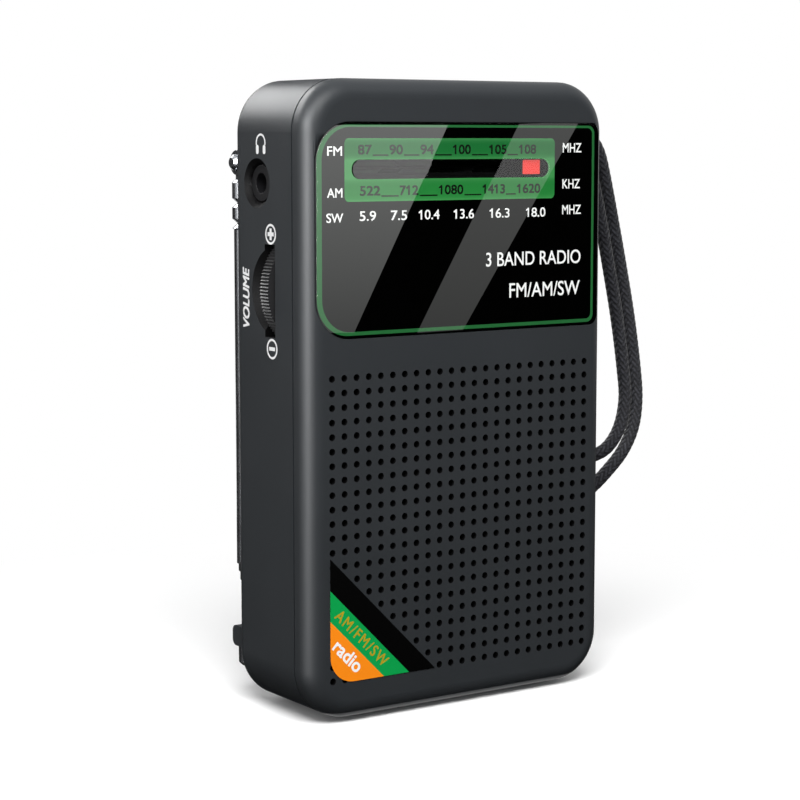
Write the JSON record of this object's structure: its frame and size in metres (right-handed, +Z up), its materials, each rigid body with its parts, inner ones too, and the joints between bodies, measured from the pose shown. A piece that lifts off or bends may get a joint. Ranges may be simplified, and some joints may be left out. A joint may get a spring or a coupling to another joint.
{
  "type": "shortwave receiver",
  "caption": "Pocket shortwave receiver with a printed tuning dial behind a lens, drilled speaker grille, thumbwheels, band switch, folding telescopic antenna and braided wrist strap.",
  "frame": {"origin": "under the middle of the receiver, on the surface that its feet stand on", "axes": "+X to the right seen from the front, +Y to the back, +Z up"},
  "size_m": [0.0859, 0.032, 0.116],
  "materials": {
    "case_plastic": "satin moulded",
    "lens": "clear gloss",
    "dial_print": "printed",
    "black_plastic": "moulded",
    "wheel_plastic": "ribbed",
    "pointer_red": "gloss",
    "sticker_film": "printed film",
    "white_plastic": "moulded",
    "steel": "plated",
    "antenna_metal": "polished plate",
    "brass": "bright",
    "copper_wire": "enamelled winding",
    "ferrite": "fired",
    "clear_film": "clear case",
    "board_green": "solder mask",
    "capacitor_sleeve": "shrunk sleeve",
    "paper": "pressed paper",
    "cloth": "woven",
    "cell_wrap": "printed wrap",
    "dial_thread": "twisted thread",
    "strap_braid": "braided",
    "lead_red": "insulated",
    "lead_black": "insulated"
  },
  "bodies": {
    "case": {"front_case": "case_plastic", "rear_case": "case_plastic", "case_screws": "steel", "corner_sticker": "sticker_film", "dial_lens": "lens", "dial_plate": "dial_print", "dial_chassis": "black_plastic", "dial_cord": "dial_thread", "idler_pin": "steel", "tuning_capacitor": "clear_film", "volume_control": "steel", "band_switch": "black_plastic", "headphone_socket": "black_plastic", "main_board": "board_green", "board_screws": "steel", "radio_chip": "black_plastic", "if_cans": "steel", "electrolytic_capacitors": "capacitor_sleeve", "ferrite_rod": "ferrite", "ferrite_coil": "copper_wire", "rod_holders": "white_plastic", "speaker_basket": "steel", "speaker_cone": "paper", "speaker_magnet": "ferrite", "speaker_cloth": "cloth", "speaker_clips": "steel", "speaker_leads": "lead_red", "battery_cells": "cell_wrap", "battery_springs": "steel", "battery_contacts": "brass", "battery_leads": "lead_black", "wrist_strap": "strap_braid", "strap_knots": "strap_braid"},
    "pointer": {"pointer": "pointer_red"},
    "idler": {"idler_pulley": "white_plastic"},
    "tuning": {"tuning_wheel": "wheel_plastic", "tuning_drum": "white_plastic", "tuning_screw": "steel"},
    "volume": {"volume_wheel": "wheel_plastic", "volume_screw": "steel"},
    "band": {"band_knob": "wheel_plastic"},
    "door": {"battery_door": "case_plastic"},
    "ant_swivel": {"antenna_base": "antenna_metal", "antenna_washer": "brass", "antenna_rivet": "antenna_metal"},
    "ant_tilt": {"antenna_root": "antenna_metal", "antenna_tube_1": "antenna_metal"},
    "ant_2": {"antenna_tube_2": "antenna_metal"},
    "ant_3": {"antenna_tube_3": "antenna_metal"},
    "ant_4": {"antenna_tube_4": "antenna_metal"},
    "ant_rod": {"antenna_rod": "antenna_metal", "antenna_tip": "antenna_metal"}
  },
  "joints": [
    {"name": "tuning_turn", "type": "hinge", "parent": "case", "child": "tuning", "pos_m": [0.022, -0.0061, 0.09095], "axis": [0, 1, 0], "range_deg": [-229, 3.4]},
    {"name": "pointer_slide", "type": "slide", "parent": "case", "child": "pointer", "axis": [1, 0, 0], "range_m": [-0.0374, 0.0013]},
    {"name": "idler_turn", "type": "hinge", "parent": "case", "child": "idler", "pos_m": [-0.0265, -0.0061, 0.09775], "axis": [0, 1, 0], "range_deg": [-900, 60]},
    {"name": "volume_turn", "type": "hinge", "parent": "case", "child": "volume", "pos_m": [-0.023, -0.00305, 0.0782], "axis": [0, 1, 0], "range_deg": [-135, 135]},
    {"name": "band_slide", "type": "slide", "parent": "case", "child": "band", "axis": [0, 0, 1], "range_m": [-0.003, 0.003]},
    {"name": "door_hinge", "type": "hinge", "parent": "case", "child": "door", "pos_m": [0.0026, 0.0093, 0.0084], "axis": [-1, 0, 0], "range_deg": [0, 90]},
    {"name": "antenna_swivel", "type": "hinge", "parent": "case", "child": "ant_swivel", "pos_m": [-0.0288, 0.0134, 0.101], "axis": [0, -1, 0], "range_deg": [0, 180]},
    {"name": "antenna_tilt", "type": "hinge", "parent": "ant_swivel", "child": "ant_tilt", "pos_m": [-0.0288, 0.0134, 0.101], "axis": [1, 0, 0], "range_deg": [0, 180]},
    {"name": "tube_2_slide", "type": "slide", "parent": "ant_tilt", "child": "ant_2", "axis": [0, 0, -1], "range_m": [0, 0.052]},
    {"name": "tube_3_slide", "type": "slide", "parent": "ant_2", "child": "ant_3", "axis": [0, 0, -1], "range_m": [0, 0.052]},
    {"name": "tube_4_slide", "type": "slide", "parent": "ant_3", "child": "ant_4", "axis": [0, 0, -1], "range_m": [0, 0.052]},
    {"name": "rod_slide", "type": "slide", "parent": "ant_4", "child": "ant_rod", "axis": [0, 0, -1], "range_m": [0, 0.052]}
  ],
  "couplings": [
    {"joint": "pointer_slide", "follows": "tuning_turn", "m_per_rad": 0.0092},
    {"joint": "idler_turn", "follows": "tuning_turn", "ratio": 3.8333}
  ]
}
